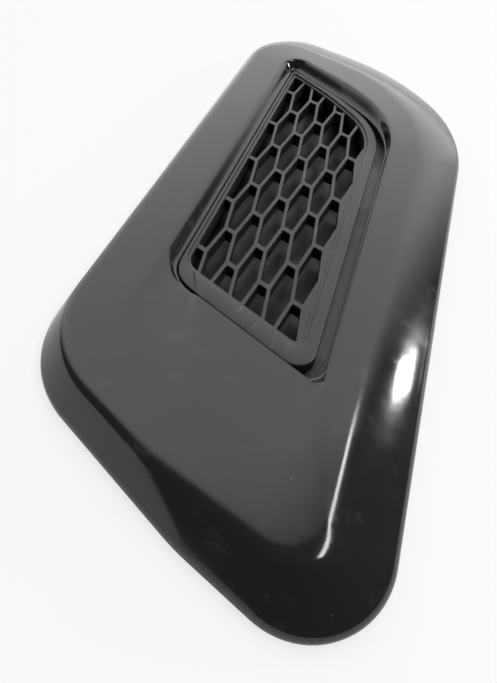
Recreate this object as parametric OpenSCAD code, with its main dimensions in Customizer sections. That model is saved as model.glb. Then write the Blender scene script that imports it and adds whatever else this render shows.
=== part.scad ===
// Hood vent grille, in millimetres.
// A moulded housing with a sloping skirt, a raised face and a scooped opening carries a
// honeycomb insert, a closed tray behind it, a foam seal and the fasteners under it.
// The lip rests on z = 0 and +Z is the outer side. +Y follows the mesh columns to the far
// end, and +X points to the side with the open groove. The origin is the middle of the lip.
//
// Every outline is a polygon of six sides with rounded corners. Its lists hold one number
// for each side in this order: right, far corner, far, left, near left, near right.
// A reach is how far a side stands from the outline's middle, along the side's direction.
// A radius rounds the corner between its own side and the next one.

/* [Lip and skirt] */
// Directions in which the sides of the lip face
lip_dir = [0, 46, 73, 179.5, 243.6, 250]; // [0:0.5:359]
// Reaches of the lip's sides
lip_reach = [71.2, 122.9, 150, 70.4, 136.2, 143.6]; // [60:0.1:160]
// Corner radii of the lip
lip_radius = [85, 125, 32, 42, 100, 28]; // [10:1:140]
// Height of the lip's straight wall
lip_wall_h = 2.5; // [2:0.1:4]
// Radius that turns the lip's wall into the skirt
lip_bend = 6; // [4.5:0.1:7]
// Width of the skirt in plan on each side
skirt_w = [22.5, 34, 36, 9.4, 9.3, 10.3]; // [8:0.1:40]
// Bulge of the skirt on each side
skirt_bulge = [0.8, 0.8, 0.6, 0.2, 0.2, 0.3]; // [0:0.1:1.5]

/* [Crease and face] */
// Directions in which the sides of the crease face
crease_dir = [-0.5, 43, 69.5, 179, 243.4, 252.3]; // [-2:0.5:359]
// Corner radii of the crease
crease_radius = [85, 72, 19, 46, 110, 12]; // [6:1:120]
// Height of the crease above the panel
crease_h = 18; // [16:0.1:20]
// Share of the skirt and of the face that the rounding of the crease takes
crease_soft = 0.14; // [0.05:0.01:0.3]
// Rise of the brow above the crease on each side
brow_rise = [2, 1.8, 1.5, 1.3, 1.1, 1.2]; // [0.5:0.1:3]

/* [Scoop] */
// Place of the vent's middle, from the middle of the lip
vent_at = [-6, 14.1]; // [-15:0.1:20]
// Directions in which the sides of the scoop face
scoop_dir = [0.5, 49, 61, 180, 243.5, 247]; // [0:0.5:359]
// Reaches of the scoop's sides, at its upper edge
scoop_reach = [39.6, 69.7, 78.4, 33.2, 84.2, 85.6]; // [30:0.1:90]
// Corner radii of the scoop
scoop_radius = [58, 72, 8.6, 19, 110, 2]; // [1:0.1:120]
// Rise of the scoop's upper edge above the crease, lowest where the near left corner runs out
scoop_rise = [2, 1.8, 1.5, 1.3, -1.2, 0.6]; // [-2:0.1:3]
// Width of the brow that runs round the scoop on its straight sides
brow_w = 1.2; // [0.8:0.1:2]
// Reaches of the brow's two near sides
brow_near = [114.6, 118.3]; // [100:0.1:122]
// Corner radii of the brow's near left, near middle and near right corners
brow_near_radius = [20, 110, 11]; // [5:1:120]
// Height of the opening's edge above the panel
edge_h = 15; // [14:0.1:16]

/* [Opening] */
// Directions in which the sides of the opening face
vent_dir = [1, 49, 57.4, 180, 243.3, 246.8]; // [0:0.1:359]
// Reaches of the insert's rim
rim_reach = [33.8, 61.9, 67.6, 27.5, 81.8, 83.3]; // [25:0.1:90]
// Corner radii of the insert's rim
rim_radius = [46, 140, 1.6, 15, 100, 7]; // [1:0.1:150]
// Gap between the rim and the housing on each side, wide at the right
rim_gap = [4.6, 1.6, 0.5, 0.5, 0.8, 1.4]; // [0.4:0.1:5]
// Height of the rim above the opening's edge
rim_stand = 0.4; // [0.2:0.1:0.8]

/* [Mesh] */
// Width of the rim's band beside the mesh on each side
band_w = [6.4, 5.4, 4.3, 3, 8.6, 9.2]; // [2.4:0.1:10]
// Corner radii of the window that the mesh fills
window_radius = [38, 120, 0.8, 8, 50, 3]; // [0.6:0.1:130]
// Width of the low step on the inner edge of the band
band_step_w = 1.4; // [0.8:0.1:1.8]
// Depth of that step
band_step_h = 0.9; // [0.4:0.1:1.2]
// Spacing of the mesh columns along their row
cell_pitch = 8; // [7:0.1:10]
// Half of a cell's length, from its middle to its short wall
cell_half_l = 16.67; // [12:0.01:20]
// Slant of the rows across the columns
row_slant = 18; // [0:1:24]
// Share of the pitch that a cell's short wall takes
short_share = 0.609; // [0.5:0.001:0.7]
// Thickness of the mesh's long walls
long_wall_t = 1.5; // [1:0.1:2]
// Thickness of the mesh's short walls
short_wall_t = 2.6; // [1.2:0.1:3]
// Depth of the mesh
mesh_deep = 6; // [5:0.1:6.4]
// How far the mesh lies under the top of the rim
mesh_sink = 1.4; // [1:0.1:2]

/* [Walls and flanges] */
// Wall thickness of the housing
wall = 2.4; // [1.8:0.1:2.8]
// Wall thickness of the insert and the tray
thin_wall = 1.6; // [1.2:0.1:2]
// Depth of the opening's wall below its edge
opening_deep = 5; // [4:0.1:5.5]
// Thickness of the insert's and the tray's flanges
flange_t = 2; // [1.4:0.1:2.2]
// Height of the tray's underside above the panel
tray_lift = 1.2; // [0.8:0.1:2]
// Radius of the tray's drain holes
drain_r = 2; // [1:0.1:2]

/* [Seal] */
// Width of the foam seal
seal_w = 5; // [3:0.1:6]
// Height of the foam seal
seal_h = 2.4; // [2:0.1:2.5]
// Gap between the seal and the lip's wall
seal_gap = 0.3; // [0.2:0.05:0.5]

/* [Clamp screws] */
// Radius of the screws' shanks
screw_r = 1.5; // [1.2:0.05:1.8]
// Radius of the screws' heads
screw_head_r = 2.9; // [2.6:0.1:3.2]
// Height of the screws' heads
screw_head_h = 2; // [1.6:0.1:2.4]
// Across-corners radius of the key socket in a screw's head
screw_key_r = 1.3; // [1:0.1:1.4]
// Length of a screw's shank inside its boss
screw_grip = 5; // [4:0.1:5.4]
// Clearance round a screw's shank in its boss
screw_fit = 0.05; // [0.03:0.01:0.1]
// Clearance round a screw's shank in the flanges
screw_pass = 0.25; // [0.2:0.05:0.4]
// Outer radius of a clamp boss
clamp_boss_r = 3.6; // [3.2:0.1:3.8]
// Distance of the clamp screws outside the scoop
clamp_out = 5.6; // [5.4:0.1:6.5]
// Places of the clamp screws: the side, then the distance along it
clamp_at = [[0, 34], [0, -26], [0, -84], [2, 34], [3, -44], [3, 8], [3, 60], [5, 20]]; // [-90:1:90]
// Outer radius of an ear round a clamp screw
ear_r = 4.6; // [4.2:0.1:5]

/* [Mounting] */
// Distance of the mounting bosses inside the crease
mount_in = 6.6; // [6.2:0.1:7.5]
// Place of the far mounting bosses along Y
mount_far_y = 64; // [50:1:72]
// Place of the near mounting bosses along Y
mount_near_y = -88; // [-92:1:-60]
// Outer radius of a mounting boss
mount_boss_r = 5; // [4.6:0.1:5.2]
// Outer radius of a threaded insert
thread_out_r = 3.2; // [3:0.1:3.4]
// Bore radius of a threaded insert
thread_bore_r = 2.1; // [1.6:0.1:2.4]
// Length of a threaded insert
thread_l = 8; // [6:0.5:10]
// Clearance round a threaded insert in its boss
thread_fit = 0.05; // [0.03:0.01:0.1]
// Extra depth of the boss's hole beyond the threaded insert
thread_spare = 3; // [2:0.5:4]
// Thickness of the ribs beside a mounting boss
rib_t = 1.6; // [1.2:0.1:2]
// Length of a rib beyond its boss
rib_l = 7; // [4:0.5:9]

/* [Hidden] */
$fn = 48;
right = 0;
left = 3;
// Pieces into which each corner of an outline is divided
corner_steps = [7, 6, 7, 8, 4, 8];
bend_steps = 4;
skirt_steps = 4;
scoop_steps = 6;
// Overlap that fuses the forms of one piece
fuse = 0.3;
// How far the flanges reach past the opening's wall, and how far the ears reach into them
flange_lap = 0.6;
ear_overlap = 2;
plastic = [0.09, 0.09, 0.1];
insert_plastic = [0.16, 0.16, 0.17];
tray_plastic = [0.05, 0.05, 0.055];
foam = [0.22, 0.22, 0.23];
steel = [0.62, 0.63, 0.65];
brass = [0.78, 0.62, 0.3];

// Where the screws and flanges lie above the panel
rim_top = edge_h + rim_stand;
mesh_top = rim_top - mesh_sink;
step_top = rim_top - band_step_h;
band_low = mesh_top - flange_t;
flange_top = edge_h - opening_deep;
flange_low = flange_top - flange_t;
tray_flange_low = flange_low - flange_t;
boss_top = crease_h - wall / 3;
land_reach = rim_reach + rim_gap;
flange_reach = grown(land_reach, wall + flange_lap);
// The crease lies inside the lip by the skirt's width
crease_reach = [
    for (i = [0:5])
        lip_reach[i] - skirt_w[i]
];
brow_reach = concat([for (i = [0:3]) scoop_reach[i] + brow_w], brow_near);
brow_radius = concat([for (i = [0:2]) scoop_radius[i] + brow_w], brow_near_radius);
brow_dir = [scoop_dir[0], scoop_dir[1], scoop_dir[2], scoop_dir[3], 246, 251];
// The lip's bend ends where its curve meets the slope up to the crease
bend_end = [
    for (w = skirt_w)
        let (run = w - lip_bend, rise = crease_h - lip_wall_h)
        180 - atan2(rise, run) - acos(lip_bend / norm([run, rise]))
];
mount_x = [crease_reach[left] - mount_in, crease_reach[right] - mount_in];
mount_places = [
    for (y = [mount_near_y, mount_far_y], x = [-mount_x[0], mount_x[1]])
        [x, y]
];
clamp_places = [
    for (place = clamp_at)
        vent_at + (scoop_reach[place[0]] + clamp_out) * facing(scoop_dir[place[0]])
        + place[1] * facing(scoop_dir[place[0]] + 90)
];
// Length of the ear between each clamp screw and the flange
ear_run = [
    for (place = clamp_at)
        scoop_reach[place[0]] + clamp_out - flange_reach[place[0]] + ear_overlap
];

// Rules for outlines

function facing(angle) = [cos(angle), sin(angle)];

function grown(sizes, by) = [for (size = sizes) max(size + by, 0.4)];

function next(i) = (i + 1) % 6;

function turn(dir, i) = (dir[next(i)] - dir[i] + 360) % 360;

// Point where side i meets the next side
function corner(dir, reach, i) =
    let (a = dir[i], b = dir[next(i)], d = reach[i], e = reach[next(i)])
    [d * sin(b) - e * sin(a), e * cos(a) - d * cos(b)] / sin(b - a);

// Centre of the arc that rounds that corner
function arc_middle(dir, reach, radius, i) =
    corner(dir, reach, i)
    - radius[i] * (facing(dir[i]) + facing(dir[next(i)])) / (1 + cos(turn(dir, i)));

// Closed outline as points in the plane
function outline(dir, reach, radius) = [
    for (i = [0:5], step = [0:corner_steps[i]])
        arc_middle(dir, reach, radius, i)
        + radius[i] * facing(dir[i] + turn(dir, i) * step / corner_steps[i])
];

// The same outline grown outwards by a distance, or shrunk by a negative one
function offset_outline(dir, reach, radius, by) =
    outline(dir, grown(reach, by), grown(radius, by));

// Heights along an outline, one for each side, blended round its corners
function heights(sizes) = [
    for (i = [0:5], step = [0:corner_steps[i]])
        let (share = step / corner_steps[i], ease = share * share * (3 - 2 * share))
        sizes[i] * (1 - ease) + sizes[next(i)] * ease
];

function level(h) = [for (i = [0:5]) h];

// Ring in space: an outline about a middle point, at its heights
function ring(middle, points, zs) = [
    for (k = [0:len(points) - 1])
        [middle[0] + points[k][0], middle[1] + points[k][1], zs[k]]
];

function mix(a, b, share) = a * (1 - share) + b * share;

// Ring between two rings, raised by a bulge
function between(a, b, share, bulge) = [
    for (k = [0:len(a) - 1])
        mix(a[k], b[k], share) + [0, 0, bulge[k] * 4 * share * (1 - share)]
];

// Ring on the curve that rounds the edge b between the rings a and c
function rounded_edge(a, b, c, t) = [
    for (k = [0:len(b) - 1])
        mix(mix(a[k], b[k], t), mix(b[k], c[k], t), t)
];

// Ring on the scoop's slope, level at both ends
function slope(a, b, share) = [
    for (k = [0:len(a) - 1])
        let (p = mix(a[k], b[k], share), ease = share * share * (3 - 2 * share))
        [p[0], p[1], mix(a[k][2], b[k][2], ease)]
];

// Solid skinned over rings that close on themselves, like a tube bent into a loop
module closed_skin(rings) {
    count = len(rings[0]);
    total = len(rings);
    polyhedron(
        points = [for (r = rings, p = r) p],
        faces = [
            for (j = [0:total - 1], i = [0:count - 1])
                let (a = j * count, b = ((j + 1) % total) * count, n = (i + 1) % count)
                each [[a + i, b + i, b + n], [a + i, b + n, a + n]]
        ]
    );
}

// Rings of the housing

// Ring on the lip's bend: the outer skin has the full radius, the inner one less the wall
function bend_ring(radius, share) =
    let (
        inset = [for (end = bend_end) lip_bend - radius * cos(end * share)],
        rise = [for (end = bend_end) lip_wall_h + radius * sin(end * share)]
    )
    ring(
        [0, 0],
        outline(lip_dir, lip_reach - inset, lip_radius - inset),
        heights(rise)
    );

function lip_ring(inset, z) =
    ring([0, 0], offset_outline(lip_dir, lip_reach, lip_radius, -inset), heights(level(z)));

function crease_ring(inset, z) =
    ring([0, 0], outline(crease_dir, crease_reach - inset, crease_radius), heights(level(z)));

function brow_ring(out, z) =
    ring(
        vent_at,
        offset_outline(brow_dir, brow_reach, brow_radius, out),
        heights(brow_rise + level(crease_h + z))
    );

function scoop_ring(out, z) =
    ring(
        vent_at,
        offset_outline(scoop_dir, scoop_reach, scoop_radius, out),
        heights(scoop_rise + level(crease_h + z))
    );

function land_ring(out, z) =
    ring(vent_at, offset_outline(vent_dir, land_reach, rim_radius, out), heights(level(z)));

outer_lip = bend_ring(lip_bend, 1);
outer_crease = crease_ring(level(0), crease_h);
outer_brow = brow_ring(0, 0);
outer_scoop = scoop_ring(0, 0);
outer_land = land_ring(0, edge_h);
bulge = heights(skirt_bulge);
flat = heights(level(0));
skirt_end = between(outer_lip, outer_crease, 1 - crease_soft, bulge);
face_start = between(outer_crease, outer_brow, crease_soft, flat);
inner_crease_inset = [for (end = bend_end) wall * tan((90 - end) / 2)];

outer_rings = concat(
    [lip_ring(0, 0)],
    [for (step = [0:bend_steps]) bend_ring(lip_bend, step / bend_steps)],
    [
        for (step = [1:skirt_steps])
            between(outer_lip, outer_crease, (1 - crease_soft) * step / skirt_steps, bulge)
    ],
    [for (t = [0.25, 0.5, 0.75]) rounded_edge(skirt_end, outer_crease, face_start, t)],
    [face_start],
    [for (share = [0.5, 0.85]) between(outer_crease, outer_brow, share, flat)],
    [outer_brow],
    [between(outer_brow, outer_scoop, 0.5, flat)],
    [for (step = [0:scoop_steps]) slope(outer_scoop, outer_land, step / scoop_steps)],
    [land_ring(0, flange_top)]
);

inner_rings = concat(
    [land_ring(wall, flange_top)],
    [land_ring(wall, edge_h - wall)],
    [scoop_ring(wall, -wall)],
    [brow_ring(wall, -wall)],
    [crease_ring(inner_crease_inset, crease_h - wall)],
    [for (step = [0:bend_steps]) bend_ring(lip_bend - wall, 1 - step / bend_steps)],
    [lip_ring(wall, 0)]
);

module at_each(places) {
    for (place = places)
        translate([place[0], place[1], 0])
            children();
}

module housing() {
    color(plastic)
        difference() {
            union() {
                closed_skin(concat(outer_rings, inner_rings));
                at_each(clamp_places)
                    translate([0, 0, flange_top])
                        cylinder(r = clamp_boss_r, h = boss_top - flange_top);
                at_each(mount_places)
                    cylinder(r = mount_boss_r, h = boss_top);
                at_each(mount_places)
                    translate([-rib_t / 2, -mount_boss_r - rib_l, tray_flange_low])
                        cube([rib_t, 2 * (mount_boss_r + rib_l), boss_top - tray_flange_low]);
            }
            at_each(clamp_places)
                translate([0, 0, flange_top - fuse])
                    cylinder(r = screw_r + screw_fit, h = screw_grip + 2 * fuse);
            at_each(mount_places)
                translate([0, 0, -fuse])
                    cylinder(r = thread_out_r + thread_fit, h = thread_l + thread_spare + fuse);
        }
}

// Flat band of given widths inside the rim's outline
module vent_band(widths, z, h) {
    translate([vent_at[0], vent_at[1], z])
        linear_extrude(h)
            difference() {
                polygon(outline(vent_dir, rim_reach, rim_radius));
                polygon(outline(vent_dir, rim_reach - widths, window_radius));
            }
}

// Ring of walls that stands under the rim
module vent_wall(z, h) {
    vent_band(level(thin_wall), z, h);
}

// Ears and flange that the screws clamp, with a hole for each screw
module clamp_flange(z) {
    difference() {
        union() {
            translate([vent_at[0], vent_at[1], z])
                linear_extrude(flange_t)
                    difference() {
                        polygon(outline(vent_dir, flange_reach, grown(rim_radius, wall)));
                        polygon(outline(vent_dir, grown(rim_reach, -thin_wall), window_radius));
                    }
            for (k = [0:len(clamp_places) - 1])
                translate([clamp_places[k][0], clamp_places[k][1], z])
                    rotate(scoop_dir[clamp_at[k][0]] + 180) {
                        cylinder(r = ear_r, h = flange_t);
                        translate([0, -ear_r, 0])
                            cube([ear_run[k], 2 * ear_r, flange_t]);
                    }
        }
        at_each(clamp_places)
            translate([0, 0, z - fuse])
                cylinder(r = screw_r + screw_pass, h = flange_t + 2 * fuse);
    }
}

// Outline of one mesh cell about its middle: six straight sides
module cell() {
    half_short = short_share * cell_pitch / 2;
    half_wide = cell_pitch - half_short;
    row_end = half_short * facing(-row_slant);
    side_point = half_wide * facing(-row_slant);
    length = [0, cell_half_l];
    shrink = [1 - long_wall_t / (half_short + half_wide), 1 - short_wall_t / 2 / cell_half_l];
    scale_to = function(p) [p[0] * shrink[0], p[1] * shrink[1]];
    polygon([
        scale_to(length + row_end), scale_to(side_point), scale_to(row_end - length),
        scale_to(-row_end - length), scale_to(-side_point), scale_to(length - row_end)
    ]);
}

// Every cell whose middle lies between the window's long sides
module cells() {
    last_column = ceil(max(rim_reach) / cell_pitch);
    last_row = ceil(max(rim_reach) / cell_half_l) + 1;
    for (column = [-last_column:last_column], row = [-last_row:last_row]) {
        middle = column * cell_pitch * facing(-row_slant) + [0, row * cell_half_l];
        in_window = middle[0] < rim_reach[right] - band_w[right]
            && middle[0] > band_w[left] - rim_reach[left];
        if ((column + row) % 2 == 0 && in_window)
            translate(middle)
                cell();
    }
}

module mesh_insert() {
    color(insert_plastic)
        union() {
            vent_band(band_w, band_low, step_top - band_low);
            vent_band(band_w - level(band_step_w), step_top - fuse, band_step_h + fuse);
            vent_wall(flange_low, band_low + fuse - flange_low);
            translate([vent_at[0], vent_at[1], mesh_top - mesh_deep])
                linear_extrude(mesh_deep)
                    difference() {
                        polygon(outline(vent_dir, rim_reach - band_w + level(fuse), window_radius));
                        cells();
                    }
            clamp_flange(flange_low);
        }
}

module drain_tray() {
    color(tray_plastic)
        difference() {
            union() {
                translate([vent_at[0], vent_at[1], tray_lift])
                    linear_extrude(thin_wall)
                        polygon(outline(vent_dir, rim_reach, rim_radius));
                vent_wall(tray_lift, flange_low - tray_lift);
                clamp_flange(tray_flange_low);
            }
            for (along = [-76, -66])
                translate([vent_at[0] + rim_reach[right] - band_w[right] / 2, vent_at[1] + along, 0])
                    cylinder(r = drain_r, h = flange_low);
        }
}

module seal_gasket() {
    color(foam)
        linear_extrude(seal_h)
            difference() {
                polygon(offset_outline(lip_dir, lip_reach, lip_radius, -wall - seal_gap));
                polygon(offset_outline(lip_dir, lip_reach, lip_radius, -wall - seal_gap - seal_w));
            }
}

module clamp_screws() {
    color(steel)
        at_each(clamp_places)
            translate([0, 0, tray_flange_low])
                difference() {
                    union() {
                        translate([0, 0, -screw_head_h])
                            cylinder(r = screw_head_r, h = screw_head_h);
                        cylinder(r = screw_r, h = 2 * flange_t + screw_grip);
                    }
                    translate([0, 0, -screw_head_h - fuse])
                        cylinder(r = screw_key_r, h = screw_head_h * 0.6 + fuse, $fn = 6);
                }
}

module threaded_inserts() {
    color(brass)
        at_each(mount_places)
            rotate_extrude()
                polygon([
                    [thread_bore_r, 0], [thread_out_r, 0],
                    [thread_out_r, thread_l * 0.4], [thread_out_r - 0.4, thread_l * 0.45],
                    [thread_out_r - 0.4, thread_l * 0.55], [thread_out_r, thread_l * 0.6],
                    [thread_out_r, thread_l], [thread_bore_r, thread_l]
                ]);
}

housing();
mesh_insert();
drain_tray();
seal_gasket();
clamp_screws();
threaded_inserts();
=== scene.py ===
"""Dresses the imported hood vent: a smooth housing, a rounded mesh insert, materials, light and camera.

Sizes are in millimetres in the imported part's frame, and become metres where a mesh is made.
An outline is a polygon of six sides with rounded corners. Its lists hold one number for each
side in this order: right, far corner, far, left, near left, near right.
"""
import math

import bmesh
import bpy
from mathutils import Matrix, Vector


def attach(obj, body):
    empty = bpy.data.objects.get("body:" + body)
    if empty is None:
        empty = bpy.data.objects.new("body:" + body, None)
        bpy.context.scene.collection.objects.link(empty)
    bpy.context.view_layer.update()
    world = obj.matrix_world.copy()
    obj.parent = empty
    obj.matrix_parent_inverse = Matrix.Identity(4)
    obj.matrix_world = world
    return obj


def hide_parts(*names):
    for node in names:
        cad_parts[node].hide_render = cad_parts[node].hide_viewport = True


MM = 0.001

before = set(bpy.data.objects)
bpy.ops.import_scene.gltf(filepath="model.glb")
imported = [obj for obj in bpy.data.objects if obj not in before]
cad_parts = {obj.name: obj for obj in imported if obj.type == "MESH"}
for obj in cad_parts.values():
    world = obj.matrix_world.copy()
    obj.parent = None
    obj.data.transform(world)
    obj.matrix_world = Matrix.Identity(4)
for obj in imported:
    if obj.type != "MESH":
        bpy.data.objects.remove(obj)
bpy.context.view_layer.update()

# Lip and skirt
LIP_DIR = [0, 46, 73, 179.5, 243.6, 250]
LIP_REACH = [71.2, 122.9, 150, 70.4, 136.2, 143.6]
LIP_RADIUS = [85, 125, 32, 42, 100, 28]
LIP_WALL_H = 2.5
LIP_BEND = 6
SKIRT_W = [22.5, 34, 36, 9.4, 9.3, 10.3]
SKIRT_BULGE = [0.8, 0.8, 0.6, 0.2, 0.2, 0.3]

# Crease and face
CREASE_DIR = [-0.5, 43, 69.5, 179, 243.4, 252.3]
CREASE_RADIUS = [85, 72, 19, 46, 110, 12]
CREASE_H = 18
CREASE_SOFT = 0.14
BROW_RISE = [2, 1.8, 1.5, 1.3, 1.1, 1.2]

# Scoop and opening
VENT_AT = Vector((-6, 14.1))
SCOOP_DIR = [0.5, 49, 61, 180, 243.5, 247]
SCOOP_REACH = [39.6, 69.7, 78.4, 33.2, 84.2, 85.6]
SCOOP_RADIUS = [58, 72, 8.6, 19, 110, 2]
SCOOP_RISE = [2, 1.8, 1.5, 1.3, -1.2, 0.6]
BROW_W = 1.2
BROW_SOFT_FACE = 0.1
BROW_SOFT_SCOOP = 0.4
BROW_DIR = [0.5, 49, 61, 180, 246, 251]
BROW_NEAR = [114.6, 118.3]
BROW_NEAR_RADIUS = [20, 110, 11]
EDGE_H = 15
EDGE_ROUND = 0.5
VENT_DIR = [1, 49, 57.4, 180, 243.3, 246.8]
RIM_REACH = [33.8, 61.9, 67.6, 27.5, 81.8, 83.3]
RIM_RADIUS = [46, 140, 1.6, 15, 100, 7]
RIM_GAP = [4.6, 1.6, 0.5, 0.5, 0.8, 1.4]
RIM_TOP = 15.4
RIM_ROUND = 0.5
WALL = 2.4
FLANGE_TOP = 10
FLANGE_T = 2
BOSS_TOP = 17.2

# Mesh
BAND_W = [6.4, 5.4, 4.3, 3, 8.6, 9.2]
WINDOW_RADIUS = [38, 120, 0.8, 8, 50, 3]
STEP_W = 1.4
STEP_H = 0.9
CELL_PITCH = 8
CELL_HALF_L = 16.67
ROW_SLANT = 18
SHORT_SHARE = 0.609
LONG_WALL_T = 1.5
SHORT_WALL_T = 2.6
CELL_ROUND = 0.7
MESH_TOP = 14
MESH_LOW = 8
MESH_BEVEL = 0.3

# Fasteners
CLAMP_AT = [(0, 34), (0, -26), (0, -84), (2, 34), (3, -44), (3, 8), (3, 60), (5, 20)]
CLAMP_OUT = 5.6
CLAMP_BOSS_R = 3.6
SCREW_HOLE_R = 1.55
EAR_R = 4.6
MOUNT_AT = [(-54.4, -88), (42.1, -88), (-54.4, 64), (42.1, 64)]
MOUNT_BOSS_R = 5
THREAD_HOLE_R = 3.25
THREAD_HOLE_TOP = 11
CLAMP_HOLE_DEEP = 5
EAR_HOLE_R = 1.75
BOSS_CHAMFER = 0.4
RIB_T = 1.6
RIB_L = 7

# Fineness of the skins
CORNER_STEPS = [22, 16, 22, 22, 10, 24]


def facing(angle):
    """Direction in the plane, as a vector."""
    return Vector((math.cos(math.radians(angle)), math.sin(math.radians(angle))))


def grown(sizes, by):
    """Each size grown by a distance, but never to nothing."""
    return [max(size + by, 0.4) for size in sizes]


def less(sizes, taken):
    """Each size less its own partner."""
    return [size - part for size, part in zip(sizes, taken)]


def corner(directions, reaches, i):
    """Point where side i meets the next side."""
    j = (i + 1) % 6
    a, b = math.radians(directions[i]), math.radians(directions[j])
    x = reaches[i] * math.sin(b) - reaches[j] * math.sin(a)
    y = reaches[j] * math.cos(a) - reaches[i] * math.cos(b)
    return Vector((x, y)) / math.sin(b - a)


def outline(directions, reaches, radii, steps=CORNER_STEPS):
    """Closed outline as points in the plane, with an arc at each corner."""
    points = []
    for i in range(6):
        turn = (directions[(i + 1) % 6] - directions[i]) % 360
        sides = facing(directions[i]) + facing(directions[(i + 1) % 6])
        middle = corner(directions, reaches, i) - radii[i] * sides / (1 + math.cos(math.radians(turn)))
        for step in range(steps[i] + 1):
            points.append(middle + radii[i] * facing(directions[i] + turn * step / steps[i]))
    return points


def heights(sizes):
    """Heights along an outline, one for each side, blended round its corners."""
    zs = []
    for i in range(6):
        for step in range(CORNER_STEPS[i] + 1):
            share = step / CORNER_STEPS[i]
            ease = share * share * (3 - 2 * share)
            zs.append(sizes[i] * (1 - ease) + sizes[(i + 1) % 6] * ease)
    return zs


def level(height):
    """The same size on all six sides."""
    return [height] * 6


def ring(middle, points, sizes):
    """Ring in space: an outline about a middle, at one height for each side."""
    return [Vector((middle[0] + p.x, middle[1] + p.y, z)) for p, z in zip(points, heights(sizes))]


def between(a, b, share, bulge=None):
    """Ring between two rings, raised by a bulge."""
    lift = bulge or [0] * len(a)
    return [p.lerp(q, share) + Vector((0, 0, h * 4 * share * (1 - share))) for p, q, h in zip(a, b, lift)]


def rounded_edge(a, b, c, t):
    """Ring on the curve that rounds the edge b between the rings a and c."""
    return [p.lerp(q, t).lerp(q.lerp(r, t), t) for p, q, r in zip(a, b, c)]


def slope(a, b, share):
    """Ring on the scoop's slope, level at both ends."""
    ease = share * share * (3 - 2 * share)
    made = []
    for p, q in zip(a, b):
        flat = p.lerp(q, share)
        flat.z = p.z + (q.z - p.z) * ease
        made.append(flat)
    return made


def skin(bm, rings):
    """Adds a closed skin over rings that close on themselves, like a tube bent into a loop."""
    rows = [[bm.verts.new(p * MM) for p in one] for one in rings]
    count = len(rings[0])
    for j, row in enumerate(rows):
        following = rows[(j + 1) % len(rows)]
        for i in range(count):
            n = (i + 1) % count
            bm.faces.new((row[i], row[n], following[n], following[i]))


def lathe(bm, middle, profile, segments=40):
    """Adds a closed turned form about a vertical axis from a profile of (radius, z) points."""
    rows = []
    for radius, z in profile:
        row = []
        for k in range(segments):
            out = middle + radius * facing(360 * k / segments)
            row.append(bm.verts.new(Vector((out.x, out.y, z)) * MM))
        rows.append(row)
    for low, high in zip(rows, rows[1:] + rows[:1]):
        for k in range(segments):
            n = (k + 1) % segments
            bm.faces.new((low[k], low[n], high[n], high[k]))


def block(bm, low, high):
    """Adds a block between two corners, for a rib."""
    made = bmesh.ops.create_cube(bm, size=1)["verts"]
    middle = (low + high) / 2
    for vert in made:
        vert.co = Vector([m + v * (b - a) for m, v, a, b in zip(middle, vert.co, low, high)]) * MM


def finished(bm, name, sharp_angle=32):
    """Turns a bmesh into a piece with smooth faces and sharp edges where it turns sharply."""
    bmesh.ops.recalc_face_normals(bm, faces=bm.faces)
    mesh = bpy.data.meshes.new(name)
    bm.to_mesh(mesh)
    bm.free()
    mesh.polygons.foreach_set("use_smooth", [True] * len(mesh.polygons))
    mesh.set_sharp_from_angle(angle=math.radians(sharp_angle))
    piece = bpy.data.objects.new(name, mesh)
    bpy.context.collection.objects.link(piece)
    return piece


def plate(bm, outer, holes, low, high, bevel):
    """Adds a flat plate with holes and rounded edges."""
    curve = bpy.data.curves.new("plate", "CURVE")
    curve.dimensions = "2D"
    curve.fill_mode = "BOTH"
    curve.extrude = ((high - low) / 2 - bevel) * MM
    curve.bevel_depth = bevel * MM
    curve.bevel_resolution = 2
    curve.offset = -bevel * MM
    for loop in [outer] + holes:
        spline = curve.splines.new("POLY")
        spline.points.add(len(loop) - 1)
        spline.use_cyclic_u = True
        for point, at in zip(spline.points, loop):
            point.co = (at.x * MM, at.y * MM, 0, 1)
    body = bpy.data.objects.new("plate", curve)
    bpy.context.collection.objects.link(body)
    mesh = bpy.data.meshes.new_from_object(body.evaluated_get(bpy.context.evaluated_depsgraph_get()))
    mesh.transform(Matrix.Translation((0, 0, (low + high) / 2 * MM)))
    bm.from_mesh(mesh)
    bpy.data.objects.remove(body)
    bpy.data.curves.remove(curve)
    bpy.data.meshes.remove(mesh)


# Housing


def bend_end(side):
    """Angle at which the lip's bend meets the slope up to the crease on a side."""
    run, rise = SKIRT_W[side] - LIP_BEND, CREASE_H - LIP_WALL_H
    climb, touch = math.atan2(rise, run), math.acos(LIP_BEND / math.hypot(run, rise))
    return 180 - math.degrees(climb) - math.degrees(touch)


def bend_ring(radius, share):
    """Ring on the lip's bend; the inner skin has the smaller radius."""
    ends = [math.radians(bend_end(side) * share) for side in range(6)]
    inset = [LIP_BEND - radius * math.cos(end) for end in ends]
    rise = [LIP_WALL_H + radius * math.sin(end) for end in ends]
    return ring((0, 0), outline(LIP_DIR, less(LIP_REACH, inset), less(LIP_RADIUS, inset)), rise)


def lip_ring(inset, z):
    """Ring round the lip's wall."""
    return ring((0, 0), outline(LIP_DIR, grown(LIP_REACH, -inset), grown(LIP_RADIUS, -inset)), level(z))


def crease_ring(inset, z):
    """Ring on the crease, or under it."""
    reach = less(less(LIP_REACH, SKIRT_W), inset)
    return ring((0, 0), outline(CREASE_DIR, reach, CREASE_RADIUS), level(z))


def brow_ring(out, z):
    """Ring on the brow between the face and the scoop."""
    reach = grown(SCOOP_REACH[:4], BROW_W) + BROW_NEAR
    radii = grown(SCOOP_RADIUS[:3], BROW_W) + BROW_NEAR_RADIUS
    rise = [CREASE_H + z + rise for rise in BROW_RISE]
    return ring(VENT_AT, outline(BROW_DIR, grown(reach, out), grown(radii, out)), rise)


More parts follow.
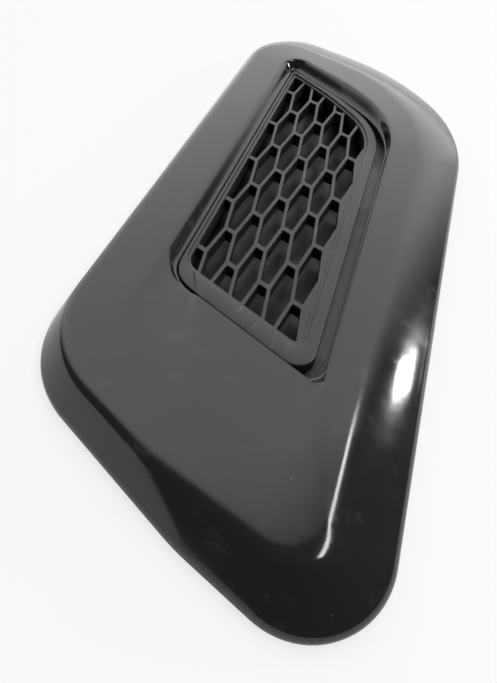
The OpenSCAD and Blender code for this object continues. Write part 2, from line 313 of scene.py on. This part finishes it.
def scoop_ring(out, z):
    """Ring on the scoop's upper edge."""
    rise = [CREASE_H + z + rise for rise in SCOOP_RISE]
    return ring(VENT_AT, outline(SCOOP_DIR, grown(SCOOP_REACH, out), grown(SCOOP_RADIUS, out)), rise)


def land_ring(out, z):
    """Ring round the opening."""
    reach = [rim + gap + out for rim, gap in zip(RIM_REACH, RIM_GAP)]
    return ring(VENT_AT, outline(VENT_DIR, reach, grown(RIM_RADIUS, out)), level(z))


def outer_rings():
    """Rings of the housing's outer skin, from the lip's foot to the opening's foot."""
    bulge = heights(SKIRT_BULGE)
    lip, crease = bend_ring(LIP_BEND, 1), crease_ring(level(0), CREASE_H)
    brow, scoop, land = brow_ring(0, 0), scoop_ring(0, 0), land_ring(EDGE_ROUND, EDGE_H)
    skirt_end = between(lip, crease, 1 - CREASE_SOFT, bulge)
    face_start = between(crease, brow, CREASE_SOFT)
    rings = [lip_ring(0.6, 0), lip_ring(0.15, 0.15), lip_ring(0, 0.6)]
    rings += [bend_ring(LIP_BEND, step / 10) for step in range(11)]
    rings += [between(lip, crease, (1 - CREASE_SOFT) * step / 12, bulge) for step in range(1, 13)]
    rings += [rounded_edge(skirt_end, crease, face_start, step / 8) for step in range(1, 9)]
    rings += [between(face_start, brow, step / 8) for step in range(1, 8)]
    before, after = between(crease, brow, 1 - BROW_SOFT_FACE), between(brow, scoop, BROW_SOFT_SCOOP)
    rings += [rounded_edge(before, brow, after, step / 4) for step in range(5)]
    rings += [between(after, scoop, step / 8) for step in range(1, 8)]
    rings += [slope(scoop, land, step / 14) for step in range(15)]
    rings += [land_ring(EDGE_ROUND * 0.3, EDGE_H - EDGE_ROUND * 0.3), land_ring(0, EDGE_H - EDGE_ROUND)]
    return rings + [land_ring(0, FLANGE_TOP)]


def inner_rings():
    """Rings of the housing's inner skin, from the opening's foot out to the lip's foot."""
    inset = [WALL * math.tan(math.radians(90 - bend_end(side)) / 2) for side in range(6)]
    scoop, brow = scoop_ring(WALL, -WALL), brow_ring(WALL, -WALL)
    crease, lip = crease_ring(inset, CREASE_H - WALL), bend_ring(LIP_BEND - WALL, 1)
    rings = [land_ring(WALL, FLANGE_TOP), land_ring(WALL, EDGE_H - WALL), scoop]
    rings += [brow, between(brow, crease, 0.5), crease, between(crease, lip, 0.5)]
    rings += [bend_ring(LIP_BEND - WALL, 1 - step / 6) for step in range(7)]
    return rings + [lip_ring(WALL, 0.4), lip_ring(WALL - 0.4, 0)]


def clamp_places():
    """Middle of each clamp screw."""
    places = []
    for side, along in CLAMP_AT:
        out = (SCOOP_REACH[side] + CLAMP_OUT) * facing(SCOOP_DIR[side])
        places.append(VENT_AT + out + along * facing(SCOOP_DIR[side] + 90))
    return places


def boss(bm, place, radius, hole_r, low, deep):
    """Adds a boss with a blind hole that opens downwards."""
    cut, axis_r = BOSS_CHAMFER, 0.05
    profile = [(radius, BOSS_TOP), (radius, low + cut), (radius - cut, low), (hole_r + cut, low)]
    profile += [(hole_r, low + cut), (hole_r, deep), (axis_r, deep), (axis_r, BOSS_TOP)]
    lathe(bm, Vector(place), profile)


def make_housing():
    """Housing: the closed skin with its bosses and ribs."""
    bm = bmesh.new()
    skin(bm, outer_rings() + inner_rings())
    for place in clamp_places():
        boss(bm, place, CLAMP_BOSS_R, SCREW_HOLE_R, FLANGE_TOP, FLANGE_TOP + CLAMP_HOLE_DEEP)
    for x, y in MOUNT_AT:
        boss(bm, (x, y), MOUNT_BOSS_R, THREAD_HOLE_R, 0, THREAD_HOLE_TOP)
        for side in (-1, 1):
            near, far = y + side * (MOUNT_BOSS_R - 0.5), y + side * (MOUNT_BOSS_R + RIB_L)
            low = Vector((x - RIB_T / 2, min(near, far), FLANGE_TOP - 2 * FLANGE_T))
            block(bm, low, Vector((x + RIB_T / 2, max(near, far), BOSS_TOP)))
    return finished(bm, "housing_shell")


# Mesh insert


def clipped(polygon, border):
    """The part of a polygon inside a convex border."""
    kept = polygon
    for a, b in zip(border, border[1:] + border[:1]):
        edge = b - a
        given, kept = kept, []
        for p, q in zip(given, given[1:] + given[:1]):
            p_in = edge.x * (p.y - a.y) - edge.y * (p.x - a.x)
            q_in = edge.x * (q.y - a.y) - edge.y * (q.x - a.x)
            if p_in >= 0:
                kept.append(p)
            if (p_in >= 0) != (q_in >= 0):
                kept.append(p.lerp(q, p_in / (p_in - q_in)))
        if len(kept) < 3:
            return []
    return kept


def area(polygon):
    """Area inside a polygon."""
    return sum(p.x * q.y - q.x * p.y for p, q in zip(polygon, polygon[1:] + polygon[:1])) / 2


def softened(polygon, radius, steps=4):
    """A polygon with its corners rounded."""
    points = []
    for before, here, after in zip(polygon[-1:] + polygon[:-1], polygon, polygon[1:] + polygon[:1]):
        into, out = before - here, after - here
        cut_in, cut_out = min(radius, into.length * 0.45), min(radius, out.length * 0.45)
        a, c = here + into.normalized() * cut_in, here + out.normalized() * cut_out
        for step in range(steps + 1):
            share = step / steps
            points.append(a.lerp(here, share).lerp(here.lerp(c, share), share))
    return points


def cell(middle):
    """Outline of one mesh cell."""
    half_short = SHORT_SHARE * CELL_PITCH / 2
    row_end, side_point = half_short * facing(-ROW_SLANT), (CELL_PITCH - half_short) * facing(-ROW_SLANT)
    length = Vector((0, CELL_HALF_L))
    shrink = (1 - LONG_WALL_T / CELL_PITCH, 1 - SHORT_WALL_T / 2 / CELL_HALF_L)
    points = [side_point, length + row_end, length - row_end]
    points += [-side_point, -row_end - length, row_end - length]
    return [middle + Vector((p.x * shrink[0], p.y * shrink[1])) for p in points]


def cells():
    """Every mesh cell, cut off at the window, with rounded corners."""
    window = outline(VENT_DIR, less(RIM_REACH, BAND_W), WINDOW_RADIUS, steps=[6] * 6)
    loops = []
    for column in range(-3, 4):
        for row in range(-7, 8):
            middle = column * CELL_PITCH * facing(-ROW_SLANT) + Vector((0, row * CELL_HALF_L))
            kept = clipped(cell(middle), window) if (column + row) % 2 == 0 else []
            if len(kept) > 2 and area(kept) > 6:
                loops.append(softened(kept, CELL_ROUND))
    return loops


def vent_ring(inset, z):
    """Ring inside the rim's outline, inset on each side."""
    share = [part / whole for part, whole in zip(inset, BAND_W)]
    radii = [rim + (window - rim) * s for rim, window, s in zip(RIM_RADIUS, WINDOW_RADIUS, share)]
    return ring(VENT_AT, outline(VENT_DIR, less(RIM_REACH, inset), radii), level(z))


def make_insert():
    """Mesh insert: stepped rim, honeycomb plate, flange and screw ears."""
    bm = bmesh.new()
    step_inset, step_top, r = grown(BAND_W, -STEP_W), RIM_TOP - STEP_H, RIM_ROUND
    rings = [vent_ring(level(0), MESH_LOW), vent_ring(level(0), RIM_TOP - r)]
    rings += [vent_ring(level(r * 0.3), RIM_TOP - r * 0.3), vent_ring(level(r), RIM_TOP)]
    rings += [vent_ring([w - r for w in step_inset], RIM_TOP)]
    rings += [vent_ring([w - r * 0.3 for w in step_inset], RIM_TOP - r * 0.3)]
    rings += [vent_ring(step_inset, RIM_TOP - r), vent_ring(step_inset, step_top + 0.1)]
    rings += [vent_ring([w + 0.1 for w in step_inset], step_top)]
    rings += [vent_ring([w - 0.3 for w in BAND_W], step_top)]
    rings += [vent_ring([w - 0.1 for w in BAND_W], step_top - 0.1), vent_ring(BAND_W, step_top - 0.3)]
    rings += [vent_ring(BAND_W, MESH_TOP - 2)]
    rings += [vent_ring(level(1.6), z) for z in (MESH_TOP - 2, MESH_LOW)]
    skin(bm, rings)
    border = outline(VENT_DIR, less(RIM_REACH, grown(BAND_W, -0.6)), WINDOW_RADIUS)
    loops = [[VENT_AT + p for p in loop] for loop in cells()]
    plate(bm, [VENT_AT + p for p in border], loops, MESH_LOW, MESH_TOP, MESH_BEVEL)
    flange = [rim + gap + WALL + 0.6 for rim, gap in zip(RIM_REACH, RIM_GAP)]
    outer = [VENT_AT + p for p in outline(VENT_DIR, flange, grown(RIM_RADIUS, WALL))]
    hole = [VENT_AT + p for p in outline(VENT_DIR, grown(RIM_REACH, -1.6), WINDOW_RADIUS)]
    plate(bm, outer, [hole], MESH_LOW, FLANGE_TOP, 0.2)
    for (side, along), place in zip(CLAMP_AT, clamp_places()):
        run = SCOOP_REACH[side] + CLAMP_OUT - flange[side] + 2
        out, across = facing(SCOOP_DIR[side]), facing(SCOOP_DIR[side] + 90)
        ear = [place + EAR_R * facing(SCOOP_DIR[side] + angle) for angle in range(-90, 91, 10)]
        ear += [place - run * out + EAR_R * across, place - run * out - EAR_R * across]
        screw_hole = [place + EAR_HOLE_R * facing(angle) for angle in range(0, 360, 15)]
        plate(bm, ear, [screw_hole], MESH_LOW + 0.02, FLANGE_TOP - 0.02, 0.2)
    return finished(bm, "honeycomb_insert")


# Materials


class Nodes:
    """Short way to build a material's nodes."""

    def __init__(self, name):
        self.material = bpy.data.materials.new(name)
        self.material.use_nodes = True
        self.tree = self.material.node_tree
        self.shader = self.tree.nodes["Principled BSDF"]
        self.place = self.add("ShaderNodeTexCoord").outputs["Object"]

    def add(self, kind, inputs=None, **settings):
        node = self.tree.nodes.new(kind)
        for key, value in settings.items():
            setattr(node, key, value)
        for key, value in (inputs or {}).items():
            if isinstance(value, bpy.types.NodeSocket):
                self.tree.links.new(value, node.inputs[key])
            else:
                node.inputs[key].default_value = value
        return node

    def set(self, **inputs):
        for key, value in inputs.items():
            socket = self.shader.inputs[key.replace("_", " ")]
            if isinstance(value, bpy.types.NodeSocket):
                self.tree.links.new(value, socket)
            else:
                socket.default_value = value

    def noise(self, scale, detail=3, rough=0.55, stretch=(1, 1, 1)):
        moved = self.add("ShaderNodeMapping", {"Vector": self.place, "Scale": stretch}).outputs["Vector"]
        inputs = {"Vector": moved, "Scale": scale, "Detail": detail, "Roughness": rough}
        made = self.add("ShaderNodeTexNoise", inputs)
        return made.outputs["Fac"]

    def spread(self, value, low, high, to_low, to_high):
        inputs = {"Value": value, "From Min": low, "From Max": high, "To Min": to_low, "To Max": to_high}
        return self.add("ShaderNodeMapRange", inputs, interpolation_type="SMOOTHSTEP").outputs["Result"]

    def maths(self, how, a, b):
        return self.add("ShaderNodeMath", {0: a, 1: b}, operation=how).outputs["Value"]

    def specks(self, scale, size, share):
        """One for a small round speck in a share of the cells, nothing elsewhere."""
        cell_map = self.add("ShaderNodeTexVoronoi", {"Vector": self.place, "Scale": scale})
        near = self.spread(cell_map.outputs["Distance"], size * 0.6, size, 1, 0)
        chosen = self.maths("LESS_THAN", cell_map.outputs["Color"], share)
        return self.maths("MULTIPLY", near, chosen)

    def colours(self, share, first, second):
        mix = self.add("ShaderNodeMix", {"Factor": share}, data_type="RGBA")
        mix.inputs["A"].default_value = (*first, 1)
        mix.inputs["B"].default_value = (*second, 1)
        return mix.outputs["Result"]

    def bump(self, height, strength, distance, under=None):
        inputs = {"Height": height, "Strength": strength, "Distance": distance}
        if under:
            inputs["Normal"] = under
        return self.add("ShaderNodeBump", inputs).outputs["Normal"]


def gloss_black():
    """Moulded black housing: glossy under a thin haze, with dust, smudges and a faint ripple."""
    n = Nodes("gloss_black_plastic")
    haze = n.spread(n.noise(26, 4), 0.4, 0.7, 0, 1)
    smudge = n.spread(n.noise(90, 5, 0.7), 0.56, 0.74, 0, 1)
    dust = n.maths("MAXIMUM", n.specks(420, 0.16, 0.06), n.specks(900, 0.2, 0.05))
    rough = n.maths("ADD", n.spread(haze, 0, 1, 0.1, 0.16), n.maths("MULTIPLY", smudge, 0.07))
    dirt = n.maths("ADD", n.maths("MULTIPLY", dust, 0.5), n.maths("MULTIPLY", smudge, 0.03))
    ripple = n.bump(n.noise(160, 2), 0.05, 0.0004)
    n.set(Base_Color=n.colours(dirt, (0.012, 0.012, 0.013), (0.45, 0.45, 0.44)))
    n.set(Roughness=n.maths("ADD", rough, n.maths("MULTIPLY", dust, 0.4)), IOR=1.55, Normal=ripple)
    return n.material


def satin_black(name, colour, rough_low, rough_high, wear):
    """Moulded black insert or tray: satin, fine grain, scuffed."""
    n = Nodes(name)
    cloud = n.spread(n.noise(60, 4), 0.35, 0.7, 0, 1)
    scuffs = n.spread(n.noise(240, 6, 0.75, (1, 0.25, 1)), 0.58, 0.72, 0, wear)
    dirt = n.maths("ADD", scuffs, n.maths("MULTIPLY", n.specks(700, 0.2, 0.07), 0.5))
    grain = n.bump(n.noise(2600, 2), 0.12, 0.0001)
    n.set(Base_Color=n.colours(dirt, colour, (0.42, 0.42, 0.41)), IOR=1.5)
    n.set(Roughness=n.spread(cloud, 0, 1, rough_low, rough_high), Normal=n.bump(scuffs, 0.2, 0.0001, grain))
    return n.material


def foam():
    """Closed-cell foam of the seal."""
    n = Nodes("seal_foam")
    pores = n.add("ShaderNodeTexVoronoi", {"Vector": n.place, "Scale": 1500}).outputs["Distance"]
    n.set(Base_Color=n.colours(n.noise(200), (0.02, 0.02, 0.021), (0.05, 0.05, 0.052)))
    n.set(Roughness=0.9, Normal=n.bump(pores, 0.7, 0.0003))
    return n.material


def metal(name, colour, stain):
    """Plated or turned metal of the fasteners."""
    n = Nodes(name)
    cloud = n.noise(500, 4)
    n.set(Base_Color=n.colours(n.spread(cloud, 0.35, 0.7, 0, 1), colour, stain), Metallic=1.0)
    n.set(Roughness=n.spread(cloud, 0.3, 0.7, 0.22, 0.42), Normal=n.bump(n.noise(2200, 2), 0.1, 0.0001))
    return n.material


def dress(piece, material):
    """Gives a piece one material for all its faces."""
    if not piece.data.materials:
        piece.data.materials.append(material)
    for slot in piece.material_slots:
        slot.material = material


# Light, floor and camera

CAMERA_AT = Vector((31.4, -184.6, 160.6))
LOOK_AT = Vector((5.6, -86.1, 18))
CAMERA_ROLL = 5.1
FOCAL_LENGTH = 26.35
SENSOR = 36


def make_camera():
    """Camera where the photograph was taken."""
    data = bpy.data.cameras.new("camera")
    data.lens = FOCAL_LENGTH
    data.sensor_width = SENSOR
    data.clip_start = 0.01
    camera = bpy.data.objects.new("camera", data)
    aim = (LOOK_AT - CAMERA_AT).to_track_quat("-Z", "Y").to_matrix()
    turn = Matrix.Rotation(math.radians(CAMERA_ROLL), 3, "Z")
    camera.matrix_world = Matrix.Translation(CAMERA_AT * MM) @ (aim @ turn).to_4x4()
    bpy.context.collection.objects.link(camera)
    bpy.context.scene.camera = camera


def make_floor():
    """Pale floor that keeps the part's shadow."""
    bm = bmesh.new()
    bmesh.ops.create_grid(bm, x_segments=1, y_segments=1, size=1.2)
    mesh = bpy.data.meshes.new("floor")
    bm.to_mesh(mesh)
    bm.free()
    floor = bpy.data.objects.new("floor", mesh)
    bpy.context.collection.objects.link(floor)
    n = Nodes("pale_floor")
    n.set(Base_Color=(0.85, 0.85, 0.85, 1), Roughness=0.6)
    light = n.add("ShaderNodeEmission", {"Color": (1, 1, 1, 1), "Strength": 1})
    camera_ray = n.add("ShaderNodeLightPath").outputs["Is Camera Ray"]
    share = n.maths("MULTIPLY", camera_ray, 0.75)
    mix = n.add("ShaderNodeMixShader", {0: share, 1: n.shader.outputs[0], 2: light.outputs[0]})
    n.tree.links.new(mix.outputs[0], n.tree.nodes["Material Output"].inputs["Surface"])
    dress(floor, n.material)


def make_world():
    """Bright walls ahead and to the left, dark ones behind the camera, white for the camera."""
    world = bpy.data.worlds.new("studio")
    world.use_nodes = True
    bpy.context.scene.world = world
    tree = world.node_tree
    tree.nodes.clear()
    way = tree.nodes.new("ShaderNodeTexCoord").outputs["Generated"]
    dot = tree.nodes.new("ShaderNodeVectorMath")
    dot.operation = "DOT_PRODUCT"
    dot.inputs[1].default_value = Vector((-0.35, 0.85, 0.4)).normalized()
    tree.links.new(way, dot.inputs[0])
    spread = tree.nodes.new("ShaderNodeMapRange")
    spread.interpolation_type = "SMOOTHSTEP"
    spread.inputs["From Min"].default_value = math.cos(math.radians(66))
    spread.inputs["From Max"].default_value = math.cos(math.radians(48))
    spread.inputs["To Min"].default_value = 0.12
    spread.inputs["To Max"].default_value = 1.7
    tree.links.new(dot.outputs["Value"], spread.inputs["Value"])
    studio = tree.nodes.new("ShaderNodeBackground")
    tree.links.new(spread.outputs["Result"], studio.inputs["Strength"])
    white = tree.nodes.new("ShaderNodeBackground")
    white.inputs["Color"].default_value = (1, 1, 1, 1)
    studio.inputs["Color"].default_value = (0.97, 0.985, 1, 1)
    mix = tree.nodes.new("ShaderNodeMixShader")
    tree.links.new(tree.nodes.new("ShaderNodeLightPath").outputs["Is Camera Ray"], mix.inputs[0])
    tree.links.new(studio.outputs[0], mix.inputs[1])
    tree.links.new(white.outputs[0], mix.inputs[2])
    output = tree.nodes.new("ShaderNodeOutputWorld")
    tree.links.new(mix.outputs[0], output.inputs["Surface"])


def soft_box(name, azimuth, elevation, distance, width, height, power):
    """Area light that hangs in a direction from the part and faces it."""
    data = bpy.data.lights.new(name, "AREA")
    data.shape = "RECTANGLE"
    data.size, data.size_y, data.energy = width, height, power
    lamp = bpy.data.objects.new(name, data)
    flat = facing(azimuth) * math.cos(math.radians(elevation))
    at = Vector((flat.x, flat.y, math.sin(math.radians(elevation)))) * distance
    lamp.location = at
    lamp.rotation_euler = (-at).to_track_quat("-Z", "Y").to_euler()
    lamp.visible_camera = False
    bpy.context.collection.objects.link(lamp)


housing = make_housing()
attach(housing, "root")
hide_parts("housing")
dress(housing, gloss_black())

insert = make_insert()
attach(insert, "root")
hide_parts("mesh_insert")
dress(insert, satin_black("satin_black_plastic", (0.02, 0.02, 0.021), 0.28, 0.42, 0.16))

dress(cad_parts["drain_tray"], satin_black("tray_plastic", (0.006, 0.006, 0.007), 0.45, 0.6, 0.05))
dress(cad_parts["seal_gasket"], foam())
dress(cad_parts["clamp_screws"], metal("zinc_plate", (0.55, 0.56, 0.58), (0.42, 0.42, 0.4)))
dress(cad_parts["threaded_inserts"], metal("turned_brass", (0.72, 0.53, 0.25), (0.5, 0.36, 0.17)))

make_camera()
make_floor()
make_world()
soft_box("window_a", 33, 17, 1.6, 0.12, 0.22, 6)
soft_box("high_strip", 10, 54, 1.6, 1.2, 0.16, 10)

bpy.context.scene.view_settings.view_transform = "Standard"
